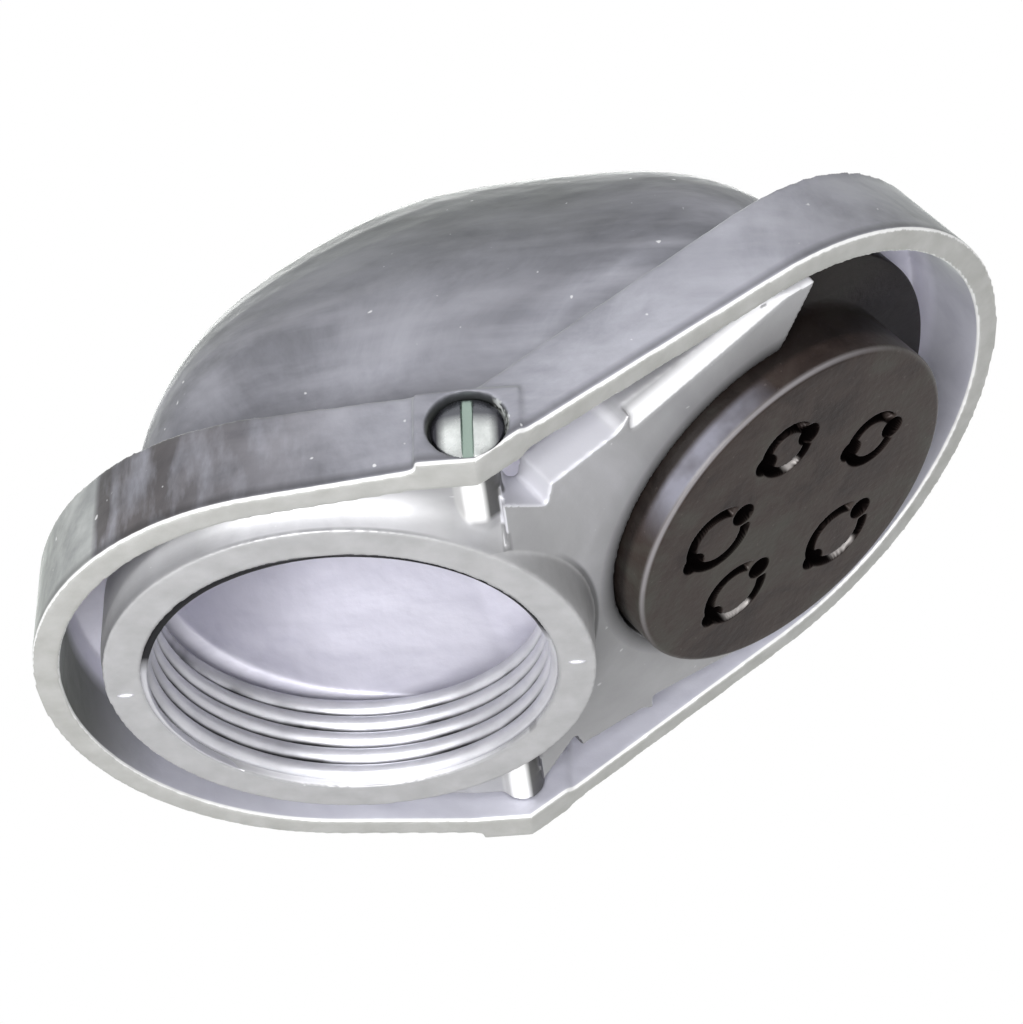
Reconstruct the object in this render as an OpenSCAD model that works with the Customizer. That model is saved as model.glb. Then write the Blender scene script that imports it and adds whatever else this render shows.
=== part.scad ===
// Service entrance weatherhead for a threaded conduit.
// A die-cast hood is screwed over a die-cast base. The base carries the threaded hub,
// which faces straight down, and a sloping plate that holds the moulded insulator
// with the knockouts that the service conductors leave through.
// Origin: on the hub's axis, at the mouth of the hub. +Z is up, +X runs from the hub
// to the insulator. Millimetres.

/* [Layout] */
// Distance from the hub axis to the line where the rim bends upwards
bend_x = 17.5; // [14:0.5:20]
// Slope of the cable side, in degrees
incline = 35.4; // [28:0.2:42]
// Width of the hood across the two screw corners
hood_w = 73.2; // [72:0.2:78]
// Reach of the hub end, from the bend line
hub_end_reach = 52.4; // [50:0.2:56]
// Radius of the hub end
hub_end_r = 33.8; // [33:0.2:35]
// Reach of the cable end, along the slope from the bend line
cable_end_reach = 73.4; // [72:0.2:78]
// Radius of the cable end
cable_end_r = 35; // [34:0.2:36]

/* [Hood] */
// Wall of the skirt
skirt_wall = 3; // [2.4:0.1:3.4]
// Height of the skirt at the screw corners
skirt_corner_h = 9.8; // [9.4:0.1:11]
// Height of the skirt at its two round ends
skirt_end_h = 12.2; // [11.6:0.1:14]
// Thickness of the sloping shoulder between skirt and dome
shoulder_t = 2.4; // [2:0.1:2.8]
// Rise of the shoulder from the skirt to the foot of the dome
shoulder_rise = 4.4; // [4:0.1:5.4]
// Wall of the dome
dome_wall = 2.4; // [2:0.1:2.8]
// How far the dome's sides stand in from the skirt
dome_side_in = 7; // [6.4:0.1:7.6]
// How far the dome stands in at the hub end
dome_hub_in = 10.6; // [9:0.1:11]
// How far the dome stands in at the cable end
dome_cable_in = 12.6; // [9:0.1:13]
// Rise of the ridge over the line between the dome's two ends
dome_rise = 31.3; // [28:0.1:38]
// How much more the ridge rises towards the hub than in the middle
dome_lean = 4.7; // [0:0.1:6]
// Squareness of the ridge line
ridge_power = 1.65; // [1.5:0.05:2.4]
// Squareness of the dome's cross-section
section_power = 2.25; // [1.9:0.05:2.8]

/* [Cover screws] */
// Height of the screw axis over the rim
screw_z = 5; // [4.8:0.1:5.2]
// Diameter of the slotted head
screw_head_d = 7.6; // [7:0.1:7.8]
// Height of the slotted head
screw_head_h = 2; // [1.6:0.1:2.2]
// How much of that height is the head's round crown
screw_crown = 0.9; // [0.4:0.1:1.2]
// Diameter of the shank
screw_d = 3.6; // [3.2:0.1:3.8]
// Length of the shank under the head
screw_len = 12; // [8:0.5:14]
// Width of the driver slot
screw_slot_w = 1.2; // [0.8:0.1:1.6]
// Depth of the driver slot
screw_slot_depth = 1; // [0.6:0.1:1.2]
// Clearance round the head in its pocket
head_clearance = 0.4; // [0.2:0.05:0.5]
// Clearance round the shank in the hood
shank_clearance = 0.25; // [0.15:0.05:0.4]
// Half width of the raised pad round each screw pocket
pad_half_w = 5.5; // [5.2:0.1:6.5]
// How far the pad stands out of the skirt
pad_out = 0.3; // [0.2:0.1:0.6]

/* [Base] */
// Radius of the bore, at the pipe thread's pitch line
bore_r = 23; // [22.4:0.1:23.4]
// Outside radius of the hub
hub_r = 27.3; // [27:0.1:28]
// Outside radius of the hub's inner end, above the plate
hub_neck_r = 25.2; // [24.8:0.1:26]
// Height of the hub
hub_h = 12; // [10:0.2:12.4]
// Thickness of the base plate
plate_t = 5.4; // [5:0.1:5.6]
// Depth of the level plate inside the rim
level_recess = 3.4; // [2.8:0.1:3.6]
// Depth of the sloping plate inside the rim
slope_recess = 0.2; // [0.1:0.1:0.6]
// Gap between the base plate and the skirt
plate_gap = 0.4; // [0.3:0.05:0.8]
// Radius of the screw bosses
boss_r = 2.6; // [2.5:0.1:3]
// How far the level plate stops short of the skirt at the hub end
plate_end_short = 4; // [3:0.2:4.4]
// Radius of the round foot of the hub on the level plate
hub_fillet = 2.8; // [1.6:0.1:3]
// Half width of the sloping plate beside the screw bosses
boss_side_y = 27.8; // [26:0.1:28.4]
// Where the notch behind the boss is deepest, along the slope
notch_u = 7.8; // [7:0.2:8.6]
// Half width of the sloping plate at the bottom of the notch
notch_y = 22.6; // [21.6:0.1:24]
// Half width of the sloping plate where its waist starts
waist_y = 25.5; // [24.6:0.1:26]
// Half width of the sloping plate where its waist ends
waist_end_y = 26.7; // [26.1:0.1:27.2]
// Where the waist ends, along the slope
waist_end_u = 17.6; // [16:0.2:19]
// Half width of the sloping plate at the roots of its arms
arm_root_y = 28.2; // [27.6:0.1:29]
// Half width of the sloping plate across its arms
arm_y = 31.2; // [30:0.1:31.5]
// Where the open arms of the sloping plate end, along the slope
arm_end = 45; // [43:0.5:47]
// Width of the bevel on each arm's lower edge, at its wide end
arm_bevel_w = 2.8; // [2:0.1:3.6]
// Height of that bevel on the arm's side
arm_bevel_h = 1.8; // [1:0.1:2.4]

/* [Insulator] */
// Centre of the insulator, along the slope from the bend line
ins_at = 38; // [37.5:0.1:38.5]
// Radius of the insulator's drum
drum_r = 22.4; // [22:0.1:22.6]
// How far the drum stands out of the rim plane
drum_proud = 4.3; // [3:0.1:6]
// Gap between the drum and the plate
drum_gap = 0.3; // [0.2:0.05:0.5]
// Radius of the flange behind the plate
flange_r = 28.5; // [27.5:0.1:29.5]
// Thickness of the flange
flange_t = 3; // [2.4:0.1:3.4]
// Rounding of the drum's front edge
drum_round = 0.8; // [0.4:0.1:1.2]
// Radius of the circle that the knockouts stand on
knockout_ring_r = 12; // [11.5:0.1:12.5]
// Width of the slot round each knockout
knockout_slot_w = 1.2; // [0.8:0.1:1.5]
// Width of the tabs that hold each knockout
knockout_tab_w = 1.5; // [1:0.1:2]
// Depth of the web that closes each slot, from the front face
knockout_web_at = 4; // [2:0.5:6]

/* [Hidden] */
eps = 0.01;
big = 200;

// Knockouts: angle on their circle and outer diameter
knockouts = [[-95, 7.4], [-17, 7.6], [58, 9.4], [139, 9], [201, 9]];
knockout_tabs = 4;

// How far the screws stand back from the bend line, towards the hub
screw_back = 0.8;

// How far the skirt and the pads reach below the rim before it is cut
rim_cut = 1;

// How far the pads round the screws stand in from the skirt, and stop short of its top
seat_step = 1;
pad_drop = 0.3;

// How far the shoulder's brim starts inside the skirt's side, and below its top
brim_land = 0.15;
brim_sink = 0.2;

// How far the foot of the dome's inside lies below the foot of its outside
foot_drop = 1;

// Steps round one end of the hood, along its straight side, and over the dome
arc_steps = 14;
side_steps = 4;
outer_sides = 24;
inner_sides = 20;

// How far the bosses reach past the bore's radius, and the tapped holes past the screws
boss_root = 4;
tap_runout = 0.8;

// Length of the steps up from the notch and from the waist; length of the arms' slanted
// tips, and how far their outer corners stand in
notch_step = 0.8;
arm_step = 1.8;
arm_tip = 5;
arm_tip_in = 1;

// How far the foot of the hub starts inside the hub's wall
foot_root = 0.5;

// Where the skirt's top corner lies, seen along the slope
corner_u = skirt_corner_h * sin(incline);
corner_h = skirt_corner_h * cos(incline);
half_w = hood_w / 2;
screw_x = bend_x - screw_back;
plate_step_x = screw_x + boss_r;
pocket_r = screw_head_d / 2 + head_clearance;
pad_face_y = half_w + pad_out;
pocket_floor_y = pad_face_y - screw_head_h;
seat_y = half_w - skirt_wall - seat_step;
plate_inset = skirt_wall + plate_gap;
plate_side_y = seat_y - plate_gap;
flange_h = slope_recess + plate_t;

// The flange's straight edge, which stands clear of the hub's inner end
flange_flat_u = (hub_neck_r - bend_x) * cos(incline) + hub_h * sin(incline) + drum_gap;

// Bisector of the bent rim, which the dome stands on
lean = incline / 2;

// ---------- outline of one end: straight sides from the corners, round end ----------

// Where the straight side meets the round end: [x, |y|, angle of the side]
function tangent(reach, r, hw) =
    let (c = reach - r,
         d = sqrt(c * c + hw * hw),
         side = asin(r / d) - atan2(hw, c),
         run = sqrt(d * d - r * r))
    [run * cos(side), hw + run * sin(side), side];

// Half width left after moving the straight side in by inset
function inset_half(reach, r, hw, inset) = hw - inset / cos(tangent(reach, r, hw)[2]);

module half_outline(reach, r, inset = 0) {
    hw = inset_half(reach, r, half_w, inset);
    t = tangent(reach - inset, r - inset, hw);
    intersection() {
        union() {
            translate([reach - r, 0]) circle(r = r - inset, $fn = 128);
            polygon([[-eps, -hw], [0, -hw], [t.x, -t.y], [t.x, t.y], [0, hw], [-eps, hw]]);
        }
        translate([-eps, -big / 2]) square(big);
    }
}

// The sloping side's own frame: X up the slope, Z into the hood
module on_slope() translate([bend_x, 0, 0]) rotate([0, -incline, 0]) children();

// The level side's own frame: X from the bend towards the hub end
module on_level() translate([bend_x, 0, 0]) mirror([1, 0, 0]) children();

// ---------- hood ----------

function level_top(u) = skirt_corner_h + (skirt_end_h - skirt_corner_h) * u / hub_end_reach;
function slope_top(u) = corner_h + (skirt_end_h - corner_h) * (u - corner_u) / (cable_end_reach - corner_u);

// The skirt's band on the level side, moved in by inset, from below the rim to its top plus lift
module level_skirt(inset, lift = 0) {
    on_level() intersection() {
        translate([0, 0, -rim_cut]) linear_extrude(big) half_outline(hub_end_reach, hub_end_r, inset);
        rotate([90, 0, 0]) linear_extrude(big, center = true)
            polygon([[-eps, -rim_cut], [hub_end_reach, -rim_cut],
                     [hub_end_reach, skirt_end_h + lift], [-eps, skirt_corner_h + lift]]);
    }
}

// The same on the sloping side; both meet in the upright plane through the bend
module slope_skirt(inset, lift = 0) {
    on_slope() intersection() {
        translate([0, 0, -rim_cut]) linear_extrude(big) half_outline(cable_end_reach, cable_end_r, inset);
        rotate([90, 0, 0]) linear_extrude(big, center = true)
            polygon([[-rim_cut * sin(incline), -rim_cut * cos(incline)], [cable_end_reach, -rim_cut],
                     [cable_end_reach, skirt_end_h + lift],
                     [(skirt_corner_h + lift) * sin(incline), (skirt_corner_h + lift) * cos(incline)]]);
    }
}

// Half of one end's outline moved in, from its tip to the corner: [distance from the bend, half width]
function end_curve(reach, r, side_in, end_in) =
    let (hw = inset_half(reach, r, half_w, side_in),
         t = tangent(reach - end_in, r - side_in, hw),
         c = reach - end_in - r + side_in,
         stop = atan2(t.y, t.x - c))
    concat([for (i = [0 : arc_steps]) [c + (r - side_in) * cos(stop * i / arc_steps),
                                       (r - side_in) * sin(stop * i / arc_steps)]],
           [for (i = [1 : side_steps]) [t.x, t.y] + ([0, hw] - [t.x, t.y]) * i / side_steps]);

function to_bisector(x, z) = [x * cos(lean) + z * sin(lean), z * cos(lean) - x * sin(lean)];

// A line round the hood on the near side, from the hub end to the cable end, lying
// lift above the skirt's top: [station along the bisector, half width, height]
function hood_line(side_in, hub_in, cable_in, lift) =
    let (hub = end_curve(hub_end_reach, hub_end_r, side_in, hub_in),
         cable = end_curve(cable_end_reach, cable_end_r, side_in, cable_in),
         m = len(hub) - 1)
    concat(
        [for (i = [0 : m]) let (b = to_bisector(-hub[i].x, level_top(hub[i].x) + lift))
            [b.x, hub[i].y, b.y]],
        [for (i = [m - 1 : -1 : 0])
            let (low_u = (skirt_corner_h + lift) * sin(incline),
                 u = low_u + cable[i].x * (1 - low_u / cable[0].x),
                 h = slope_top(u) + lift * (1 + (cos(incline) - 1) * i / m),
                 b = to_bisector(u * cos(incline) - h * sin(incline), u * sin(incline) + h * cos(incline)))
            [b.x, cable[i].y, b.y]]);

// Height of the ridge at a station between the two ends of the dome's foot
function ridge(s, a, b, rise) =
    let (f = (2 * s - a.x - b.x) / (b.x - a.x),
         arch = pow(max(0, 1 - pow(abs(f), ridge_power)), 1 / ridge_power))
    a.z + (b.z - a.z) * (f + 1) / 2 + (rise - dome_lean * f) * arch;

function signed_pow(v, p) = sign(v) * pow(abs(v), p);

// Solid from the brim line up over the shoulder and the dome. Each station is an arch:
// brim, foot, round over the ridge, foot, brim.
module hood_form(brim_in, brim_lift, foot_in, foot_lift, rise, sides) {
    brim = hood_line(brim_in, brim_in, brim_in, brim_lift);
    foot = hood_line(dome_side_in + foot_in, dome_hub_in + foot_in, dome_cable_in + foot_in, foot_lift);
    n = len(foot) - 1;
    a = foot[0];
    b = foot[n];
    q = 2 / section_power;
    k = sides + 3;
    rows = [for (i = [1 : n - 1])
        let (p = foot[i], e = brim[i], top = ridge(p.x, a, b, rise))
        concat([[e.x, -e.y, e.z]],
               [for (j = [0 : sides]) let (w = 180 * j / sides)
                   [p.x, -p.y * signed_pow(cos(w), q), p.z + (top - p.z) * pow(sin(w), q)]],
               [e])];
    tip_a = [brim[0].x, 0, brim[0].z];
    tip_b = [brim[n].x, 0, brim[n].z];
    points = concat([tip_a, [a.x, 0, a.z]], [for (row = rows) each row], [[b.x, 0, b.z], tip_b]);
    end = len(points) - 1;
    first = 2;
    final = end - 1 - k;
    skin = [for (i = [0 : n - 3]) for (j = [0 : k - 2]) let (o = first + i * k + j)
        each [[o, o + 1, o + k], [o + 1, o + k + 1, o + k]]];
    under = [for (i = [0 : n - 3]) let (o = first + i * k)
        each [[o, o + k, o + k - 1], [o + k, o + 2 * k - 1, o + k - 1]]];
    hub_tip = concat([[0, 1, first], [0, first + k - 1, 1], [0, first, first + k - 1]],
                     [for (j = [0 : k - 2]) [1, first + j + 1, first + j]]);
    cable_tip = concat([[end, final, end - 1], [end, end - 1, final + k - 1], [end, final + k - 1, final]],
                       [for (j = [0 : k - 2]) [end - 1, final + j, final + j + 1]]);
    translate([bend_x, 0, 0]) rotate([0, -lean, 0])
        polyhedron(points, concat(skin, under, hub_tip, cable_tip));
}

module hood_outside() {
    level_skirt(0);
    slope_skirt(0);
    hood_form(brim_land, -brim_sink, 0, shoulder_rise, dome_rise, outer_sides);
}

// Height of the shoulder's under side over the skirt's top, where it meets the skirt's wall
brim_under = shoulder_rise * skirt_wall / dome_side_in - shoulder_t;

module hood_inside() {
    level_skirt(skirt_wall, brim_under);
    slope_skirt(skirt_wall, brim_under);
    hood_form(skirt_wall + brim_land, brim_under - brim_sink, dome_wall, shoulder_rise - foot_drop,
              dome_rise - dome_wall + foot_drop, inner_sides);
}

// Everything over the two rim planes
module over_rim() {
    rotate([90, 0, 0]) linear_extrude(big, center = true)
        polygon([[bend_x - big, 0], [bend_x, 0], [bend_x + big * cos(incline), big * sin(incline)],
                 [bend_x - big, big]]);
}

// Flat pads at the corners: outside for the screw heads, inside for the base's bosses
module hood_pads() {
    for (s = [-1, 1])
        translate([screw_x - pad_half_w, s > 0 ? seat_y : -pad_face_y, -rim_cut])
            cube([2 * pad_half_w, pad_face_y - seat_y, skirt_corner_h - pad_drop + rim_cut]);
}

module screw_holes() {
    for (s = [-1, 1]) translate([screw_x, 0, screw_z]) rotate([-90 * s, 0, 0]) {
        translate([0, 0, pocket_floor_y]) cylinder(h = big, r = pocket_r, $fn = 64);
        translate([0, 0, seat_y - eps]) cylinder(h = big, r = screw_d / 2 + shank_clearance, $fn = 48);
    }
}

module cover() {
    color("#b4b6bd") difference() {
        intersection() {
            union() {
                difference() {
                    hood_outside();
                    hood_inside();
                }
                hood_pads();
            }
            over_rim();
        }
        screw_holes();
    }
}

// ---------- base ----------

// Sloping plate outline: notched behind each boss, then waisted, then widening into
// the two arms on either side of the insulator
module arm_outline() {
    side = [[0, boss_side_y], [plate_step_x - bend_x, boss_side_y], [notch_u, notch_y],
            [notch_u + notch_step, waist_y], [waist_end_u, waist_end_y], [waist_end_u + arm_step, arm_root_y],
            [ins_at, arm_y], [arm_end, arm_y - arm_tip_in], [arm_end - arm_tip, drum_r + drum_gap]];
    polygon(concat(side, [[ins_at, 0]], [for (i = [len(side) - 1 : -1 : 0]) [side[i].x, -side[i].y]]));
}

// Wedge under one arm, whose upper face is the bevel; it runs out at the arm's tip
module arm_bevel() {
    from_u = waist_end_u + arm_step;
    inner = [from_u, arm_root_y - arm_bevel_w, slope_recess];
    outer = inner + 2 * [0, arm_bevel_w, arm_bevel_h];
    tip = [arm_end, arm_y, slope_recess];
    low = [0, 0, 1];
    polyhedron([inner, tip, outer, inner - low, tip - low, outer - low - [0, 0, 2 * arm_bevel_h]],
               [[0, 2, 1], [3, 4, 5], [0, 1, 4, 3], [1, 2, 5, 4], [2, 0, 3, 5]]);
}

// It starts beside the bosses, where the level plate ends
module slope_plate() {
    difference() {
        on_slope() difference() {
            translate([0, 0, slope_recess]) linear_extrude(plate_t) difference() {
                intersection() {
                    arm_outline();
                    half_outline(cable_end_reach, cable_end_r, plate_inset);
                }
                translate([ins_at, 0]) circle(r = drum_r + drum_gap, $fn = 128);
                translate([ins_at, -drum_r]) square([big, 2 * drum_r]);
            }
            arm_bevel();
            mirror([0, 1, 0]) arm_bevel();
        }
        translate([plate_step_x - big, -big / 2, -big / 2]) cube(big);
    }
}

// Level plate outline, with the strip between the bosses that reaches past the bend
module level_outline() {
    intersection() {
        half_outline(hub_end_reach - plate_end_short, hub_end_r, plate_inset);
        translate([-eps, -plate_side_y]) square([big, 2 * plate_side_y]);
    }
    translate([bend_x - plate_step_x - eps, -boss_side_y]) square([boss_root, 2 * boss_side_y]);
}

module level_plate() {
    on_level() translate([0, 0, level_recess]) linear_extrude(plate_t) level_outline();
}

// Round foot where the hub meets the level plate
module hub_foot() {
    intersection() {
        translate([0, 0, level_recess - hub_fillet]) rotate_extrude($fn = 128) difference() {
            translate([hub_r - foot_root, 0]) square([hub_fillet + foot_root, hub_fillet + foot_root]);
            translate([hub_r + hub_fillet, 0]) circle(r = hub_fillet, $fn = 48);
        }
        on_level() linear_extrude(level_recess + plate_t) level_outline();
    }
}

module bosses() {
    for (s = [-1, 1]) translate([screw_x, 0, screw_z]) rotate([-90 * s, 0, 0])
        translate([0, 0, bore_r - boss_root]) cylinder(h = seat_y - bore_r + boss_root, r = boss_r, $fn = 64);
}

// Blind tapped holes in the bosses
module screw_threads() {
    for (s = [-1, 1]) translate([screw_x, 0, screw_z]) rotate([-90 * s, 0, 0])
        translate([0, 0, pocket_floor_y - screw_len - tap_runout])
            cylinder(h = big, r = screw_d / 2, $fn = 48);
}

module base() {
    color("#bfc0c4") difference() {
        union() {
            cylinder(h = level_recess + plate_t, r = hub_r, $fn = 160);
            cylinder(h = hub_h, r = hub_neck_r, $fn = 160);
            hub_foot();
            level_plate();
            slope_plate();
            bosses();
        }
        cylinder(h = big, r = bore_r, center = true, $fn = 160);
        screw_threads();
    }
}

// ---------- insulator ----------

module knockout_slot(d) {
    linear_extrude(knockout_web_at + eps) difference() {
        circle(d = d, $fn = 48);
        circle(d = d - 2 * knockout_slot_w, $fn = 48);
        for (i = [0 : knockout_tabs - 1]) rotate(45 + i * 360 / knockout_tabs)
            translate([0, -knockout_tab_w / 2]) square([d, knockout_tab_w]);
    }
}

module insulator() {
    color("#3a3430") on_slope() difference() {
        translate([ins_at, 0, 0]) rotate_extrude($fn = 160) polygon([
            [0, -drum_proud], [drum_r - drum_round, -drum_proud],
            [drum_r - 0.3 * drum_round, -drum_proud + 0.3 * drum_round],
            [drum_r, -drum_proud + drum_round],
            [drum_r, flange_h], [flange_r, flange_h],
            [flange_r, flange_h + flange_t], [0, flange_h + flange_t]]);
        translate([ins_at, 0, 0]) for (k = knockouts) rotate(k[0])
            translate([knockout_ring_r, 0, -drum_proud - eps]) knockout_slot(k[1]);
        translate([flange_flat_u - big, -big / 2, flange_h - eps]) cube(big);
    }
}

// ---------- cover screws ----------

module cover_screw() {
    head_r = screw_head_d / 2;
    crown_r = (head_r * head_r + screw_crown * screw_crown) / (2 * screw_crown);
    difference() {
        union() {
            intersection() {
                cylinder(h = screw_head_h, r = head_r, $fn = 64);
                translate([0, 0, screw_head_h - crown_r]) sphere(r = crown_r, $fn = 96);
            }
            translate([0, 0, -screw_len]) cylinder(h = screw_len + eps, d = screw_d, $fn = 48);
        }
        translate([-screw_slot_w / 2, -big / 2, screw_head_h - screw_slot_depth])
            cube([screw_slot_w, big, big]);
    }
}

module cover_screws() {
    color("#a9b0a8") for (s = [-1, 1]) translate([screw_x, s * pocket_floor_y, screw_z])
        rotate([-90 * s, 0, 0]) cover_screw();
}

cover();
base();
insulator();
cover_screws();
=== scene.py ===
"""Service entrance weatherhead: finishes, thread, knockouts, light and camera round the CAD model."""
import math

import bpy
from mathutils import Matrix, Vector


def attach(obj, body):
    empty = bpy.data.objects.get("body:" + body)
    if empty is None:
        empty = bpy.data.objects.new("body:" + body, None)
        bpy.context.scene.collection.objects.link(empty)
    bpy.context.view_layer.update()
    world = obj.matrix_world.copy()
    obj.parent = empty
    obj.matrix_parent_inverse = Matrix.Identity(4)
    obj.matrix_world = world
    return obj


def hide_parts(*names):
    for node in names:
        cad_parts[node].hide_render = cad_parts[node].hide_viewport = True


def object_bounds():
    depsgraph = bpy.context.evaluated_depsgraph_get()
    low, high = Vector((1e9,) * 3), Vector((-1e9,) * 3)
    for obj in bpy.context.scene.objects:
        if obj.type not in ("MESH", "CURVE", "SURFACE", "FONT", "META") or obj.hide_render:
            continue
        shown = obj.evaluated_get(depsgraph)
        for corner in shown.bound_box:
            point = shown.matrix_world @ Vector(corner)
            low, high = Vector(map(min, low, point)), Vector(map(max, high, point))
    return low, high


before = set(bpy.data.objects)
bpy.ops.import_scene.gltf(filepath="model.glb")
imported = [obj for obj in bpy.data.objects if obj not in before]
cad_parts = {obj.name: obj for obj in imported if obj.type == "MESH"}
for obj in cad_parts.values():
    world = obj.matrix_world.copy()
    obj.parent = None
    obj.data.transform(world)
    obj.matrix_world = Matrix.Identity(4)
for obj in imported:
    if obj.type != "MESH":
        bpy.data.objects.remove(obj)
cad_low, cad_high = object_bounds()

MM = 0.001
scene = bpy.context.scene

# ---------- sizes taken over from the CAD model, in metres ----------

BEND_X = 17.5 * MM
INCLINE = math.radians(35.4)
BORE_R = 23.0 * MM
HUB_H = 12.0 * MM
HUB_R = 27.3 * MM
SCREW_X = 16.7 * MM
SCREW_Z = 5.0 * MM
POCKET_R = 4.2 * MM
POCKET_FLOOR_Y = 34.9 * MM
BOSS_R = 2.6 * MM
PLATE_STEP_X = 19.3 * MM
DRUM_U = 38.0 * MM
DRUM_R = 22.4 * MM
DRUM_PROUD = 4.3 * MM
DRUM_ROUND = 0.8 * MM
FLANGE_R = 28.5 * MM
FLANGE_W = 5.6 * MM
FLANGE_T = 3.0 * MM
FLANGE_FLAT_U = 13.5 * MM

# Middle of the ring round the mouth, where the two raised marks stand
HUB_FACE_R = 25.2 * MM

# Pipe thread in the hub: 11.5 turns to the inch, on a taper of 1 in 16 on the diameter
PITCH = 25.4 / 11.5 * MM
RIDGE_H = 0.8 * MM
TAPER = 1 / 32
THREAD_START = math.radians(130)

# Knockouts: angle on their circle in degrees and outer diameter in millimetres, both as in the
# CAD model; where their two pockets point; and the turn from there over which the groove's outer
# edge gets a painted highlight, from none to full and back, or None
KNOCKOUTS = [
    (-95, 7.4, -4, ((60, 75), (105, 90))),
    (-17, 7.6, 8, None),
    (58, 9.4, -26, ((70, 84), (128, 112))),
    (139, 9.0, -24, ((80, 92), (140, 124))),
    (201, 9.0, -21, None),
]
KNOCKOUT_RING_R = 12.0 * MM
KNOCKOUT_SLOT_W = 1.2 * MM
GROOVE_DEPTH = 1.4 * MM
POCKET_DEPTH = 3.0 * MM


# ---------- material nodes ----------

class Nodes:
    """A new material with its Principled shader, and short ways to add and link nodes."""

    def __init__(self, name):
        self.material = bpy.data.materials.new(name)
        self.material.use_nodes = True
        self.tree = self.material.node_tree
        self.shader = self.tree.nodes["Principled BSDF"]
        self.where = self.tree.nodes.new("ShaderNodeTexCoord").outputs["Object"]

    def add(self, kind, **settings):
        node = self.tree.nodes.new("ShaderNode" + kind)
        for key, value in settings.items():
            setattr(node, key, value)
        return node

    def put(self, value, socket):
        """Sets a socket, or links it when the value is another node's output."""
        if isinstance(value, bpy.types.NodeSocket):
            self.tree.links.new(value, socket)
        else:
            socket.default_value = value

    def noise(self, per_mm, detail=4, roughness=0.55, stretch=(1, 1, 1), distortion=0.0):
        """Noise with about per_mm bumps to the millimetre, from 0 to 1."""
        place = self.add("Mapping")
        self.put(self.where, place.inputs["Vector"])
        place.inputs["Scale"].default_value = stretch
        node = self.add("TexNoise")
        self.put(place.outputs["Vector"], node.inputs["Vector"])
        node.inputs["Scale"].default_value = per_mm / MM
        node.inputs["Detail"].default_value = detail
        node.inputs["Roughness"].default_value = roughness
        node.inputs["Distortion"].default_value = distortion
        return node.outputs["Fac"]

    def ramp(self, value, *stops):
        """Colour or grey by value: stops are (position, (r, g, b)) or (position, grey)."""
        node = self.add("ValToRGB")
        self.put(value, node.inputs["Fac"])
        band = node.color_ramp.elements
        while len(band) < len(stops):
            band.new(0.5)
        for element, (at, colour) in zip(band, stops):
            shade = colour if isinstance(colour, tuple) else (colour,) * 3
            element.position = at
            element.color = (*shade, 1)
        return node.outputs["Color"]

    def mix(self, share, a, b, blend="MIX"):
        node = self.add("Mix", data_type="RGBA", blend_type=blend)
        self.put(share, node.inputs["Factor"])
        for value, socket in ((a, node.inputs["A"]), (b, node.inputs["B"])):
            self.put((*value, 1) if isinstance(value, tuple) else value, socket)
        return node.outputs["Result"]

    def maths(self, operation, a, b=0.0, c=0.0, clamp=False):
        node = self.add("Math", operation=operation, use_clamp=clamp)
        for value, socket in zip((a, b, c), node.inputs):
            self.put(value, socket)
        return node.outputs["Value"]

    def between(self, value, low, high):
        """0 at low, 1 at high, straight between; low may be the greater."""
        node = self.add("MapRange", clamp=True)
        self.put(value, node.inputs["Value"])
        node.inputs["From Min"].default_value = low
        node.inputs["From Max"].default_value = high
        return node.outputs["Result"]

    def step(self, length, low, high):
        """The same for a length, with low and high in millimetres."""
        return self.between(length, low * MM, high * MM)

    def window(self, length, low, full_from, full_to, high):
        """1 from full_from to full_to, 0 under low and over high, all in millimetres."""
        return self.both(self.step(length, low, full_from), self.step(length, high, full_to))

    def split(self, vector):
        """The x, y and z of a vector."""
        node = self.add("SeparateXYZ")
        self.put(vector, node.inputs["Vector"])
        return node.outputs["X"], node.outputs["Y"], node.outputs["Z"]

    def size(self, value):
        """The value without its sign."""
        return self.maths("ABSOLUTE", value)

    def both(self, *shares):
        """Shares of 0 to 1 multiplied together."""
        result = shares[0]
        for share in shares[1:]:
            result = self.maths("MULTIPLY", result, share)
        return result

    def shade(self, share, colour, times):
        """The colour made darker or lighter, where the share is 1, by a number or by (r, g, b)."""
        factor = times if isinstance(times, tuple) else (times,) * 3
        return self.mix(share, colour, factor, "MULTIPLY")

    def facing(self, x, y, z):
        """How far the surface faces that way: 1 straight on, -1 straight away."""
        node = self.add("VectorMath", operation="DOT_PRODUCT")
        self.put(self.add("NewGeometry").outputs["Normal"], node.inputs[0])
        node.inputs[1].default_value = Vector((x, y, z)).normalized()
        return node.outputs["Value"]

    def distance(self, a, b):
        """Length of a flat offset with those two parts."""
        squares = self.maths("ADD", self.maths("MULTIPLY", a, a), self.maths("MULTIPLY", b, b))
        return self.maths("SQRT", squares)

    def bump(self, height, depth, normal=None):
        """Bump of that depth in metres."""
        node = self.add("Bump")
        self.put(height, node.inputs["Height"])
        node.inputs["Distance"].default_value = depth
        if normal is not None:
            self.put(normal, node.inputs["Normal"])
        return node.outputs["Normal"]

    def finish(self, **sockets):
        for name, value in sockets.items():
            self.put(value, self.shader.inputs[name.replace("_", " ")])
        return self.material


def on_slope(n):
    """Place in the sloping plane's own frame: along it from the bend, across, and height over it."""
    x, y, z = n.split(n.where)
    cos, sin = math.cos(INCLINE), math.sin(INCLINE)
    out = n.maths("SUBTRACT", x, BEND_X)
    along = n.maths("ADD", n.maths("MULTIPLY", out, cos), n.maths("MULTIPLY", z, sin))
    over = n.maths("SUBTRACT", n.maths("MULTIPLY", z, cos), n.maths("MULTIPLY", out, sin))
    return along, y, over


def rim_height(n):
    """Height over the bent rim's two planes, in metres."""
    _, _, z = n.split(n.where)
    return n.maths("MINIMUM", z, on_slope(n)[2])


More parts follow.
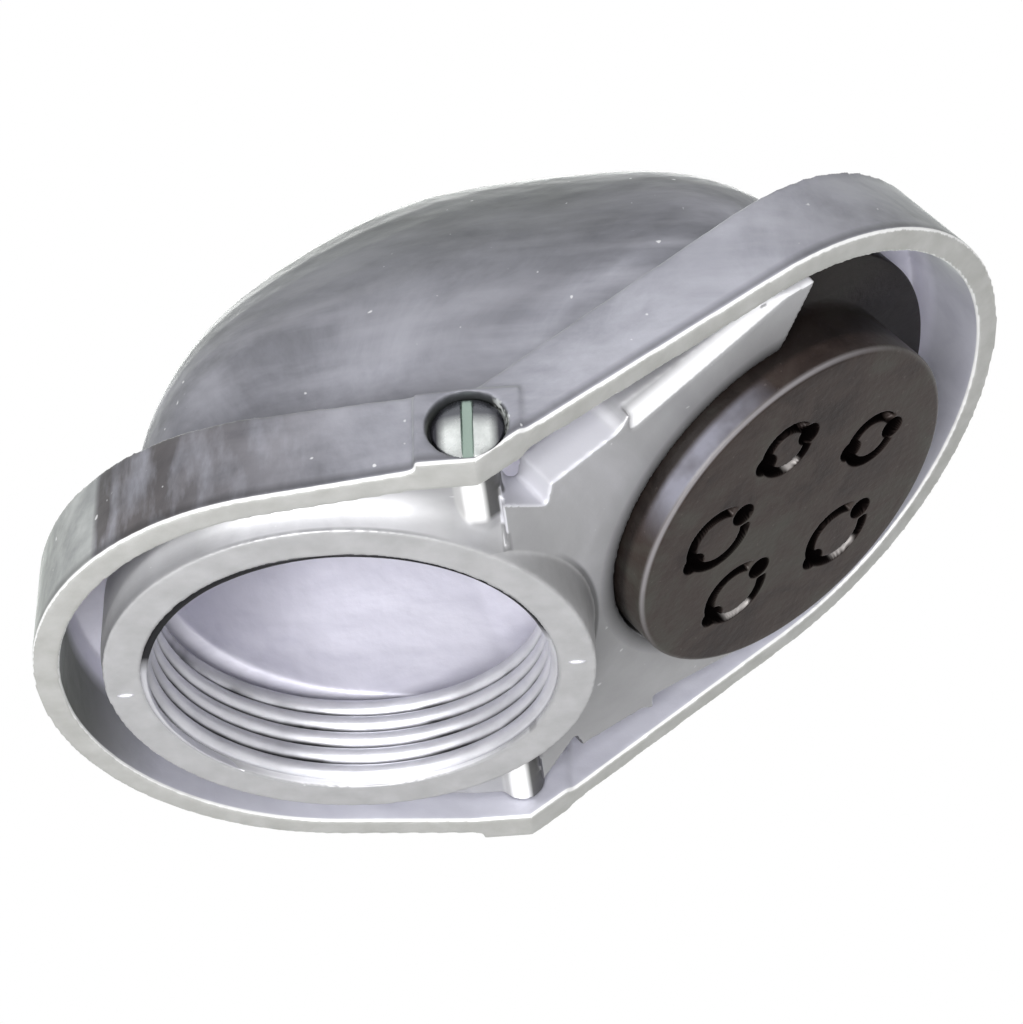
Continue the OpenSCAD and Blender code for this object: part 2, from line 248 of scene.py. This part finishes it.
def drum_distance(n):
    """Distance from the insulator's axis, in metres."""
    along, y, _ = on_slope(n)
    return n.distance(n.maths("SUBTRACT", along, DRUM_U), y)


def screw_distance(n):
    """Distance from the axis of the cover screws, in metres."""
    x, _, z = n.split(n.where)
    return n.distance(n.maths("SUBTRACT", x, SCREW_X), n.maths("SUBTRACT", z, SCREW_Z))


def inside_share(n, centre):
    """1 where the surface faces that point in the hood's middle, 0 where it faces away."""
    away = n.add("VectorMath", operation="SUBTRACT")
    n.put(n.where, away.inputs[0])
    away.inputs[1].default_value = centre
    facing = n.add("VectorMath", operation="DOT_PRODUCT")
    n.put(away.outputs["Vector"], facing.inputs[0])
    n.put(n.add("NewGeometry").outputs["Normal"], facing.inputs[1])
    return n.step(facing.outputs["Value"], 1, -1)


def casting_relief(n, fine, wave):
    """Fine grain and slow waves of a die-cast skin, each to its own depth in metres."""
    grain = n.bump(n.noise(1.8, detail=4), fine)
    return n.bump(n.noise(0.16, detail=2), wave, grain)


def specked(n, colour, share):
    """A few pale specks of bare metal."""
    specks = n.between(n.noise(0.8, detail=1), 0.765, 0.81)
    return n.mix(n.maths("MULTIPLY", specks, share), colour, (0.80, 0.80, 0.82))


# The photograph shows one side. Where a tone below is kept to the near side, it is painted light
# and shade that follow what that side shows, and the far side stays plain.

def outer_skin(n, clouds):
    """Outside of the hood: clouded, streaked and specked, with painted light and shade, most on the near side.
    """
    x, y, z = n.split(n.where)
    rim = rim_height(n)
    near = n.step(y, 4, -8)
    skin = n.ramp(clouds, (0.34, (0.105, 0.107, 0.122)), (0.5, (0.185, 0.187, 0.214)),
                  (0.66, (0.290, 0.292, 0.330)))
    streaks = n.between(n.noise(0.22, detail=4, stretch=(0.22, 1, 1)), 0.42, 0.78)
    skin = n.mix(n.maths("MULTIPLY", streaks, 0.7), skin, (0.34, 0.34, 0.38))

    # dome: painted shade over its top, a faint painted highlight low on its side
    top = n.both(n.step(z, 30, 46), n.step(x, 44, 26), near)
    skin = n.shade(top, skin, (0.58, 0.60, 0.57))
    flank_highlight = n.both(n.step(rim, 32, 22), n.window(x, -8, 2, 12, 18), near)
    skin = n.shade(flank_highlight, skin, 1.12)

    # skirt: painted highlight along the cable side and round the hub end; painted shade along its top at
    # the end, in streaks between the hub end and the screw, and as a painted shadow over the rim's edge
    low = n.step(rim, 16, 14.5)
    cable_side_highlight = n.both(n.step(rim, 20, 17), n.window(x, 14, 24, 46, 56))
    skin = n.shade(cable_side_highlight, skin, 1.36)
    top_edge_shade = n.both(low, n.step(rim, 10, 13), n.step(x, 40, 52), near)
    skin = n.shade(top_edge_shade, skin, 0.55)
    hub_end_highlight = n.both(low, n.step(x, -23.2, -24), near)
    skin = n.shade(hub_end_highlight, skin, (1.65, 1.70, 1.50))
    shade_streaks = n.between(n.noise(0.30, detail=5, stretch=(1, 1, 0.35)), 0.30, 0.52)
    shade_patch = n.both(low, n.step(x, -24, -23.2), n.step(x, 6, -16), shade_streaks, near)
    skin = n.shade(shade_patch, skin, (0.34, 0.31, 0.29))
    # painted shadow in a line just over the rim's edge
    skin = n.shade(n.window(rim, 0.45, 0.7, 0.9, 1.7), skin, 0.55)
    return specked(n, skin, 0.7)


def inner_skin(n, clouds):
    """Inside of the hood: pale lavender with faint streaks; painted shade low down, deepest at the hub end."""
    x, _, z = n.split(n.where)
    colour = n.ramp(clouds, (0.3, (0.68, 0.67, 0.77)), (0.7, (0.85, 0.84, 0.93)))
    streaks = n.between(n.noise(0.16, detail=5, stretch=(0.3, 1, 1), distortion=0.4), 0.50, 0.72)
    colour = n.mix(n.maths("MULTIPLY", streaks, 0.45), colour, (0.50, 0.49, 0.60))
    # painted shade low down, and a near-black painted shade low at the hub end
    colour = n.shade(n.step(rim_height(n), 10, 7), colour, (0.66, 0.67, 0.67))
    recess_shade = n.both(n.step(x, -25, -32), n.step(z, 9, 7))
    return n.mix(recess_shade, colour, (0.11, 0.11, 0.10))


def hood_casting(name):
    """Clouded skin outside, lavender inside, the rim's ground face between edges with a painted highlight."""
    n = Nodes(name)
    x, y, z = n.split(n.where)
    rim = rim_height(n)
    clouds = n.noise(0.032, detail=7, roughness=0.64, distortion=0.9)
    colour = n.mix(inside_share(n, (20 * MM, 0, 20 * MM)), outer_skin(n, clouds), inner_skin(n, clouds))
    # painted highlight on the rim's edges; its ground face is set over it below
    colour = n.mix(n.step(rim, 0.50, 0.40), colour, (0.80, 0.80, 0.80))
    ground = n.ramp(n.noise(0.35, detail=5), (0.3, (0.38, 0.38, 0.365)), (0.7, (0.46, 0.46, 0.45)))
    colour = n.mix(n.step(rim, 0.16, 0.08), colour, ground)

    # screw pockets: painted shade, darkest in their upper half, with a painted glint on the cable side
    out = n.between(n.size(y), POCKET_FLOOR_Y - 0.5 * MM, POCKET_FLOOR_Y - 0.3 * MM)
    round_screw = n.between(screw_distance(n), POCKET_R + 0.25 * MM, POCKET_R - 0.05 * MM)
    pocket = n.both(round_screw, out, n.step(rim, 0.1, 0.3))
    depth = n.ramp(n.between(z, SCREW_Z - 2.5 * MM, SCREW_Z + 1.0 * MM), (0, (0.20, 0.20, 0.23)),
                   (1, (0.015, 0.017, 0.017)))
    glint = n.both(n.between(x, SCREW_X + 2.6 * MM, SCREW_X + 3.2 * MM),
                   n.between(n.noise(1.1, detail=2), 0.44, 0.56),
                   n.between(z, SCREW_Z - 1.0 * MM, SCREW_Z))
    colour = n.mix(pocket, colour, n.mix(glint, depth, (0.62, 0.64, 0.63)))
    rough = n.maths("MULTIPLY_ADD", clouds, 0.25, 0.40)
    return n.finish(Base_Color=colour, Metallic=0.35, Roughness=rough, Sheen_Weight=0.2,
                    Sheen_Roughness=0.35, Sheen_Tint=(0.93, 1.0, 0.90, 1),
                    Normal=casting_relief(n, 0.022 * MM, 0.30 * MM))


def plate_tones(n, skin):
    """Sloping plate: painted light by the near boss and on the bevels, painted shade by the far boss and the
    drum.
    """
    x, y, _ = n.split(n.where)
    side = n.size(y)
    along, _, _ = on_slope(n)
    flat = n.size(n.facing(-math.sin(INCLINE), 0, math.cos(INCLINE)))
    plate = n.between(x, PLATE_STEP_X - 0.6 * MM, PLATE_STEP_X - 0.4 * MM)
    tilted = n.both(plate, n.between(flat, 0.94, 0.88))
    # painted light on the sides of the arms by the near boss, painted shade on them by the far one
    painted_walls = n.both(tilted, n.step(side, 22.0, 22.5), n.step(along, 19, 17))
    skin = n.mix(painted_walls, skin, (0.62, 0.62, 0.66))
    skin = n.mix(n.both(painted_walls, n.step(y, 19, 21)), skin, (0.07, 0.07, 0.08))
    # painted shade along the rounded edge of the plate's step
    level_edge_shade = n.both(plate, n.step(x, 19.9, 19.6), n.step(side, 22.3, 22))
    skin = n.shade(level_edge_shade, skin, 0.62)

    # painted highlight on the bevel, whose foot runs out slantwise along each arm
    bevel_foot = n.maths("MULTIPLY_ADD", n.maths("SUBTRACT", along, 18 * MM), 0.215, 25.4 * MM)
    up_bevel = n.maths("SUBTRACT", side, bevel_foot)
    bevel = n.both(tilted, n.step(along, 17, 18), n.step(up_bevel, 2.0, 1.2))
    skin = n.mix(bevel, skin, (0.78, 0.78, 0.80))

    # painted shade on the plate round the drum, and a deep painted shadow at the edge of its opening
    to_drum = drum_distance(n)
    flats = n.both(plate, n.between(flat, 0.90, 0.96))
    skin = n.shade(n.both(flats, n.step(to_drum, 28, 24)), skin, 0.82)
    return n.shade(n.both(plate, n.step(to_drum, 24.8, 23.1)), skin, 0.30)


def hub_tones(n, skin):
    """Hub and bosses: painted shade at the near foot; painted highlights on the wall, at the bore and on each
    boss.
    """
    x, y, z = n.split(n.where)
    side = n.size(y)
    radius = n.distance(x, y)
    hub_wall = n.both(n.between(radius, HUB_R - 0.4 * MM, HUB_R), n.step(z, 0.3, 0.6))
    # painted shade at the hub's foot on the near cable side, and a painted highlight on its wall each side
    foot = n.both(hub_wall, n.between(radius, HUB_R + 0.75 * MM, HUB_R + 0.45 * MM),
                  n.step(x, 6, 14), n.step(y, -14, -8))
    skin = n.shade(foot, skin, 0.42)
    wall_highlight = n.both(hub_wall, n.step(radius, 31, 28.5), n.step(side, 5, 16), n.window(x, -13, -7, 8, 14))
    skin = n.shade(wall_highlight, skin, 1.8)

    # each boss: painted highlight along its middle and painted shade on its cable side
    boss = n.both(n.between(screw_distance(n), BOSS_R + 0.35 * MM, BOSS_R + 0.15 * MM),
                  n.step(side, 23.2, 24.2))
    across = n.between(x, SCREW_X - BOSS_R, SCREW_X + BOSS_R)
    skin = n.mix(boss, skin, n.ramp(across, (0, 0.38), (0.20, 0.48), (0.30, 0.95), (0.62, 0.95),
                                    (0.74, 0.10), (1, 0.05)))
    # painted highlight round the mouth of the bore, strongest across its middle
    bore = n.both(n.step(radius, 23.45, 23.25), n.step(z, 0.12, 0.30), n.step(n.size(x), 17, 8))
    return n.mix(bore, skin, (0.92, 0.92, 0.95))


def base_casting(name):
    """Paler skin than the hood's, with painted light and shade on the plate, the hub and the bosses."""
    n = Nodes(name)
    x, y, _ = n.split(n.where)
    clouds = n.noise(0.05, detail=6, roughness=0.6, distortion=0.6)
    skin = n.ramp(clouds, (0.3, (0.30, 0.30, 0.31)), (0.5, (0.36, 0.36, 0.37)), (0.7, (0.43, 0.43, 0.45)))
    skin = hub_tones(n, plate_tones(n, specked(n, skin, 0.5)))
    ground = n.ramp(n.noise(0.3, detail=5), (0.3, (0.37, 0.37, 0.375)), (0.7, (0.45, 0.45, 0.46)))
    face = n.both(n.step(rim_height(n), 0.16, 0.08), n.step(n.distance(x, y), 23.2, 23.5))
    rough = n.maths("MULTIPLY_ADD", clouds, 0.25, 0.34)
    return n.finish(Base_Color=n.mix(face, skin, ground), Metallic=0.35, Roughness=rough,
                    Normal=casting_relief(n, 0.015 * MM, 0.16 * MM))


def thread_casting(name):
    """Cut thread: brightest at its middle; painted shade on its sides, in its roots in places and in its first
    near turn.
    """
    n = Nodes(name)
    x, y, z = n.split(n.where)
    clouds = n.noise(0.16, detail=5, stretch=(1, 1, 2.5))
    colour = n.ramp(clouds, (0.3, (0.66, 0.66, 0.71)), (0.7, (0.90, 0.90, 0.95)))
    root = n.maths("ADD", n.distance(x, y), n.maths("MULTIPLY", z, TAPER))
    # painted shade in places in the thread's roots
    root_shade = n.both(n.between(root, BORE_R - 0.45 * MM, BORE_R - 0.15 * MM),
                     n.between(n.noise(0.11, detail=3), 0.40, 0.58), n.step(n.size(x), 2, 7),
                     n.step(z, 1.6, 2.4))
    colour = n.shade(root_shade, colour, 0.22)
    # painted shade towards the sides, which leaves the middle brightest
    colour = n.shade(n.step(n.size(x), 4, 11), colour, 0.72)
    # painted shade over the first turn on the near side
    first_turn_shade = n.both(n.window(z, 0, 0.05, 1.15, 1.45), n.step(y, -4, -7))
    colour = n.mix(first_turn_shade, colour, (0.010, 0.010, 0.012))
    rough = n.maths("MULTIPLY_ADD", clouds, 0.2, 0.30)
    return n.finish(Base_Color=colour, Metallic=0.55, Roughness=rough,
                    Normal=n.bump(n.noise(0.6, detail=3), 0.05 * MM))


def moulded_black(name):
    """Dark brown moulding, mottled and satin: painted sheen on its near wall, painted shade in knockouts."""
    n = Nodes(name)
    clouds = n.noise(0.10, detail=6, roughness=0.68, distortion=0.6)
    colour = n.ramp(clouds, (0.34, (0.012, 0.007, 0.006)), (0.5, (0.029, 0.020, 0.017)),
                    (0.66, (0.040, 0.037, 0.031)))
    specks = n.between(n.noise(1.6, detail=1), 0.72, 0.78)
    colour = n.mix(n.maths("MULTIPLY", specks, 0.25), colour, (0.14, 0.12, 0.11))

    # drum's wall: a painted bluish sheen where it faces the near hub end, and painted shade at its foot
    along, _, over = on_slope(n)
    out = drum_distance(n)
    near_hub = n.facing(-0.44, -0.82, -0.36)
    wall = n.between(out, DRUM_R - 0.35 * MM, DRUM_R - 0.15 * MM)
    wall_sheen = n.both(wall, n.between(near_hub, 0.86, 0.985), n.step(over, -1.0, -1.9),
                   n.between(n.noise(0.18, detail=3), 0.20, 0.60),
                   n.between(along, DRUM_U - 20.5 * MM, DRUM_U - 16.5 * MM))
    colour = n.mix(wall_sheen, colour, (0.185, 0.185, 0.22))
    colour = n.shade(n.both(wall, n.step(over, -1.6, -0.8)), colour, 0.35)
    # painted highlight along the edge of the face, on the side towards the near hub end
    edge_highlight = n.both(n.between(out, DRUM_R - 0.55 * MM, DRUM_R - 0.35 * MM),
                  n.between(out, DRUM_R, DRUM_R - 0.15 * MM),
                  n.step(over, -3.4, -3.7), n.between(near_hub, 0.15, 0.60))
    colour = n.mix(n.maths("MULTIPLY", edge_highlight, 0.7), colour, (0.22, 0.21, 0.22))

    # knockouts: painted shade in their grooves and pockets and a painted highlight on some groove
    # edges, from the two values that knockout_sink gives each point of the face
    lit = n.add("Attribute", attribute_name="lit").outputs["Fac"]
    sunk = n.add("Attribute", attribute_name="sunk").outputs["Fac"]
    dark = n.maths("SUBTRACT", sunk, lit, clamp=True)
    colour = n.mix(dark, colour, (0.004, 0.003, 0.003))
    colour = n.mix(lit, colour, (0.36, 0.34, 0.33))
    rough = n.maths("MAXIMUM", n.maths("MULTIPLY_ADD", clouds, 0.35, 0.26), dark)
    return n.finish(Base_Color=colour, Metallic=n.maths("MULTIPLY", dark, 0.9), Roughness=rough,
                    Specular_IOR_Level=0.35, Specular_Tint=n.mix(dark, (1, 1, 1), (0.0, 0.0, 0.0)),
                    Normal=n.bump(n.noise(0.9, detail=4), 0.06 * MM))


def zinc(name):
    """Bright zinc plate: painted shade over the top and edge of the head, with a faint green cast in the slot.
    """
    n = Nodes(name)
    x, _, z = n.split(n.where)
    across = n.size(n.maths("SUBTRACT", x, SCREW_X))
    clouds = n.noise(0.5, detail=4)
    colour = n.ramp(clouds, (0.3, (0.60, 0.63, 0.62)), (0.7, (0.86, 0.89, 0.88)))
    # painted shade over the top of the head and along its edge
    colour = n.mix(n.between(z, SCREW_Z - 0.6 * MM, SCREW_Z + 1.4 * MM), colour, (0.13, 0.135, 0.15))
    colour = n.mix(n.step(across, 2.2, 3.2), colour, (0.05, 0.05, 0.06))
    colour = n.mix(n.step(across, 0.62, 0.5), colour, (0.34, 0.43, 0.38))
    rough = n.maths("MULTIPLY_ADD", clouds, 0.2, 0.16)
    return n.finish(Base_Color=colour, Metallic=0.9, Roughness=rough,
                    Normal=n.bump(n.noise(1.2), 0.03 * MM))


hood_metal = hood_casting("hood_metal")
base_metal = base_casting("base_metal")
thread_metal = thread_casting("thread_metal")
black = moulded_black("moulded_black")
zinc_plate = zinc("zinc")


# ---------- CAD nodes: finish and softened edges ----------

def dress(node, material):
    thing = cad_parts[node]
    thing.data.materials.clear()
    thing.data.materials.append(material)
    return thing


def soften(thing, voxel, rounds, keep):
    """Rounds the edges as casting does: fine even mesh, smoothed, then thinned out where it is flat."""
    mesh = thing.modifiers.new("even", "REMESH")
    mesh.mode = "VOXEL"
    mesh.voxel_size = voxel
    mesh.use_smooth_shade = True
    smooth = thing.modifiers.new("round", "SMOOTH")
    smooth.factor = 0.5
    smooth.iterations = rounds
    thin = thing.modifiers.new("thin", "DECIMATE")
    thin.ratio = keep


soften(dress("cover", hood_metal), 0.31 * MM, 10, 0.26)
soften(dress("base", base_metal), 0.25 * MM, 8, 0.3)
dress("insulator", black)
soften(dress("cover_screws", zinc_plate), 0.12 * MM, 4, 0.5)


# ---------- pieces made here ----------

def mesh_piece(name, points, faces, material):
    """A new piece from points and faces, riding with the body."""
    data = bpy.data.meshes.new(name)
    data.from_pydata(points, [], faces)
    data.validate()
    data.update()
    data.shade_smooth()
    piece = bpy.data.objects.new(name, data)
    scene.collection.objects.link(piece)
    data.materials.append(material)
    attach(piece, "root")
    return piece


def hub_thread():
    """One helical ridge up the bore: it grows out of the mouth and fades out at its upper end."""
    steps = 120
    total = int(steps * (HUB_H - 0.3 * MM) / PITCH)
    lower_fade, upper_fade = steps // 5, steps // 2
    sunk_root = 0.05 * MM
    profile = [(k / 10 - 0.5, 1 - abs(k / 5 - 1) ** 2.5) for k in range(11)]
    points = []
    for i in range(total + 1):
        turn = THREAD_START + 2 * math.pi * i / steps
        up = PITCH * i / steps
        height = RIDGE_H * min(1, i / lower_fade, (total - i) / upper_fade)
        for along, rise in profile:
            z = up + along * PITCH
            r = BORE_R - TAPER * z - rise * height + sunk_root
            inside_hub = min(max(z, 0.05 * MM), HUB_H - 0.05 * MM)
            points.append((r * math.cos(turn), r * math.sin(turn), inside_hub))
    k = len(profile)
    faces = []
    for i in range(total):
        for j in range(k):
            a, b = i * k + j, i * k + (j + 1) % k
            faces.append((a, b, b + k, a + k))
    faces.append(tuple(range(k)))
    faces.append(tuple(reversed(range(total * k, total * k + k))))
    return mesh_piece("hub_thread", points, faces, thread_metal)


def ease(value, low, high):
    """0 up to low, 1 from high, smooth between; with low above high, the other way round."""
    t = min(max((value - low) / (high - low), 0), 1)
    return t * t * (3 - 2 * t)


def knockout_sink(u, y):
    """At that place on the drum's face: how deep it is sunk, its painted shade and its painted highlight."""
    deep, dark, lit = 0, 0, 0
    for at, diameter, points_to, edge_highlight in KNOCKOUTS:
        at, points_to = math.radians(at), math.radians(points_to)
        du = u - KNOCKOUT_RING_R * math.cos(at)
        dy = y - KNOCKOUT_RING_R * math.sin(at)
        away = math.hypot(du, dy)
        if away > diameter * MM:
            continue
        middle = (diameter * MM - KNOCKOUT_SLOT_W) / 2
        off_ring = abs(away - middle)

        # the groove: a ring with a wide gap at one pocket and a narrow one at the other
        turn = math.degrees(math.atan2(dy, du) - points_to) % 360
        arc = max(ease(turn, 27, 33) * ease(turn, 180, 176), ease(turn, 180, 184) * ease(turn, 333, 327))
        deep = max(deep, ease(off_ring, 0.70 * MM, 0.35 * MM) * arc * GROOVE_DEPTH)
        dark = max(dark, ease(off_ring, 0.85 * MM, 0.62 * MM) * arc)

        # the two round pockets on that ring
        for way in (-1, 1):
            to_pocket = math.hypot(du - way * middle * math.cos(points_to),
                                   dy - way * middle * math.sin(points_to))
            deep = max(deep, ease(to_pocket, 1.50 * MM, 0.95 * MM) * POCKET_DEPTH)
            dark = max(dark, ease(to_pocket, 1.65 * MM, 1.42 * MM))

        # painted highlight on the groove's outer edge over that turn
        if edge_highlight:
            highlight_arc = ease(turn, *edge_highlight[0]) * ease(turn, *edge_highlight[1])
            lit = max(lit, ease(abs(away - middle - 0.42 * MM), 0.30 * MM, 0.16 * MM) * highlight_arc)
    return deep, dark, lit


def moulding_outline():
    """Half section of drum and flange, outwards and back: distance from the axis, height over the rim."""
    fine_from, fine_step, fine_rings = 6.4 * MM, 0.17 * MM, 66
    face = [i * 0.6 * MM for i in range(1, 11)]
    face += [fine_from + i * fine_step for i in range(fine_rings)]
    face += [18.2 * MM, 19.2 * MM, 20.4 * MM]
    outline = [(r, -DRUM_PROUD) for r in face]
    for i in range(9):
        turn = math.pi / 2 * i / 8
        outline.append((DRUM_R - DRUM_ROUND * (1 - math.sin(turn)),
                        DRUM_ROUND * (1 - math.cos(turn)) - DRUM_PROUD))
    outline += [(DRUM_R, w * MM) for w in (-2.5, -1, 1, 3)]
    bevel = 0.25 * MM
    top = FLANGE_W + FLANGE_T
    outline += [(DRUM_R, FLANGE_W), (FLANGE_R - bevel, FLANGE_W), (FLANGE_R, FLANGE_W + bevel),
                (FLANGE_R, top - bevel), (FLANGE_R - bevel, top)]
    return outline


def insulator_moulding():
    """Drum and flange to the CAD's outline, with the knockouts' grooves and pockets sunk into the face."""
    sectors = 640
    outline = moulding_outline()
    cos, sin = math.cos(INCLINE), math.sin(INCLINE)

    def place(u, y, w):
        return BEND_X + u * cos - w * sin, y, u * sin + w * cos

    points = [place(DRUM_U, 0, -DRUM_PROUD), place(DRUM_U, 0, FLANGE_W + FLANGE_T)]
    tones = {"sunk": [0, 0], "lit": [0, 0]}
    for r, w in outline:
        has_knockouts = 5 * MM < r < 19 * MM
        for j in range(sectors):
            turn = 2 * math.pi * j / sectors
            u, y = r * math.cos(turn), r * math.sin(turn)
            deep, dark, lit = knockout_sink(u, y) if has_knockouts else (0, 0, 0)
            points.append(place(max(DRUM_U + u, FLANGE_FLAT_U), y, w + deep))
            tones["sunk"].append(dark)
            tones["lit"].append(lit)
    faces = []
    last = 2 + (len(outline) - 1) * sectors
    for j in range(sectors):
        k = (j + 1) % sectors
        faces.append((0, 2 + k, 2 + j))
        faces.append((1, last + j, last + k))
        for i in range(len(outline) - 1):
            a = 2 + i * sectors
            faces.append((a + j, a + k, a + sectors + k, a + sectors + j))
    piece = mesh_piece("insulator_moulding", points, faces, black)
    for name, values in tones.items():
        piece.data.attributes.new(name, "FLOAT", "POINT").data.foreach_set("value", values)
    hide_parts("insulator")


def hub_marks():
    """Two short raised marks on the hub's face, on either side of the mouth."""
    rings, sides = 4, 12
    length, width, height, root = 1.1 * MM, 0.32 * MM, 0.30 * MM, 0.1 * MM
    points, faces = [], []
    for side in (-1, 1):
        start = len(points)
        for i in range(rings):
            lift = math.pi / 2 * i / rings
            for j in range(sides):
                turn = 2 * math.pi * j / sides
                points.append((side * HUB_FACE_R + length * math.cos(lift) * math.cos(turn),
                               width * math.cos(lift) * math.sin(turn),
                               root - (height + root) * math.sin(lift)))
        points.append((side * HUB_FACE_R, 0, -height))
        for i in range(rings - 1):
            for j in range(sides):
                a, b = start + i * sides + j, start + i * sides + (j + 1) % sides
                faces.append((a, a + sides, b + sides, b))
        top = start + (rings - 1) * sides
        faces += [(top + j, start + rings * sides, top + (j + 1) % sides) for j in range(sides)]
        faces.append(tuple(start + j for j in range(sides)))
    return mesh_piece("hub_marks", points, faces, thread_metal)


hub_thread()
hub_marks()
insulator_moulding()


# ---------- floor, light and camera ----------

def floor_material(name, colour, roughness):
    n = Nodes(name)
    tone = n.mix(n.noise(0.002), tuple(c * 0.985 for c in colour), colour)
    return n.finish(Base_Color=tone, Roughness=roughness)


def make_floor():
    """Wide pale floor, far enough under the hub to clear a camera that looks up into it."""
    bpy.ops.mesh.primitive_plane_add(size=40, location=(0, 0, -0.5))
    floor = bpy.context.object
    floor.name = "floor"
    floor.data.materials.append(floor_material("floor_white", (0.92, 0.92, 0.92), 0.9))


def make_world(strength):
    """White for what the camera and gloss see, and plain light of that strength for the rest."""
    world = bpy.data.worlds.new("studio")
    scene.world = world
    world.use_nodes = True
    tree = world.node_tree
    back = tree.nodes["Background"]
    path = tree.nodes.new("ShaderNodeLightPath")
    seen = path.outputs["Is Camera Ray"]
    for ray in ("Is Glossy Ray", "Is Transmission Ray"):
        either = tree.nodes.new("ShaderNodeMath")
        either.operation = "MAXIMUM"
        tree.links.new(seen, either.inputs[0])
        tree.links.new(path.outputs[ray], either.inputs[1])
        seen = either.outputs[0]
    level = tree.nodes.new("ShaderNodeMapRange")
    level.inputs["To Min"].default_value = strength
    level.inputs["To Max"].default_value = 1.0
    tree.links.new(seen, level.inputs["Value"])
    tree.links.new(level.outputs["Result"], back.inputs["Strength"])
    back.inputs["Color"].default_value = (1, 1, 1, 1)


def area_lamp(name, place, aim, size, power):
    lamp = bpy.data.lights.new(name, "AREA")
    lamp.shape = "DISK"
    lamp.size = size
    lamp.energy = power
    thing = bpy.data.objects.new(name, lamp)
    scene.collection.objects.link(thing)
    thing.location = place
    thing.rotation_mode = "QUATERNION"
    thing.rotation_quaternion = (aim - place).to_track_quat("-Z", "Y")


# The camera stands below the hub, looking up: its aim is a point just over the bend of the rim.
# Angles in degrees, as fitted to the rim, the hub and the drum in the photograph
CAMERA_AZIMUTH = 3.54
CAMERA_ELEVATION = -37.18
CAMERA_ROLL = -2.31
CAMERA_AWAY = 293.2 * MM
CAMERA_SHIFT_RIGHT = 0.4 * MM
CAMERA_SHIFT_UP = 17.1 * MM
CAMERA_LENS = 93.33


def make_camera():
    azimuth, elevation, roll = (math.radians(v) for v in (CAMERA_AZIMUTH, CAMERA_ELEVATION, CAMERA_ROLL))
    back = Vector((math.sin(azimuth) * math.cos(elevation), -math.cos(azimuth) * math.cos(elevation),
                   math.sin(elevation)))
    right = Vector((0, 0, 1)).cross(back).normalized()
    up = back.cross(right)
    turned_right = right * math.cos(roll) + up * math.sin(roll)
    turned_up = up * math.cos(roll) - right * math.sin(roll)
    place = (Vector((BEND_X, 0, 0)) + turned_right * CAMERA_SHIFT_RIGHT + turned_up * CAMERA_SHIFT_UP
             + back * CAMERA_AWAY)
    axes = Matrix((turned_right, turned_up, back)).transposed().to_4x4()
    camera = bpy.data.objects.new("camera", bpy.data.cameras.new("camera"))
    camera.data.lens = CAMERA_LENS
    camera.data.sensor_width = 36
    camera.data.clip_start = 0.01
    scene.collection.objects.link(camera)
    camera.matrix_world = Matrix.Translation(place) @ axes
    scene.camera = camera


make_floor()
make_world(0.40)
middle = (cad_low + cad_high) / 2
area_lamp("front", middle + Vector((-0.10, -0.44, -0.48)), middle, 0.36, 7.5)
area_lamp("back", middle + Vector((-0.05, 0.45, 0.45)), middle, 0.5, 5.5)
make_camera()
scene.view_settings.view_transform = "Standard"
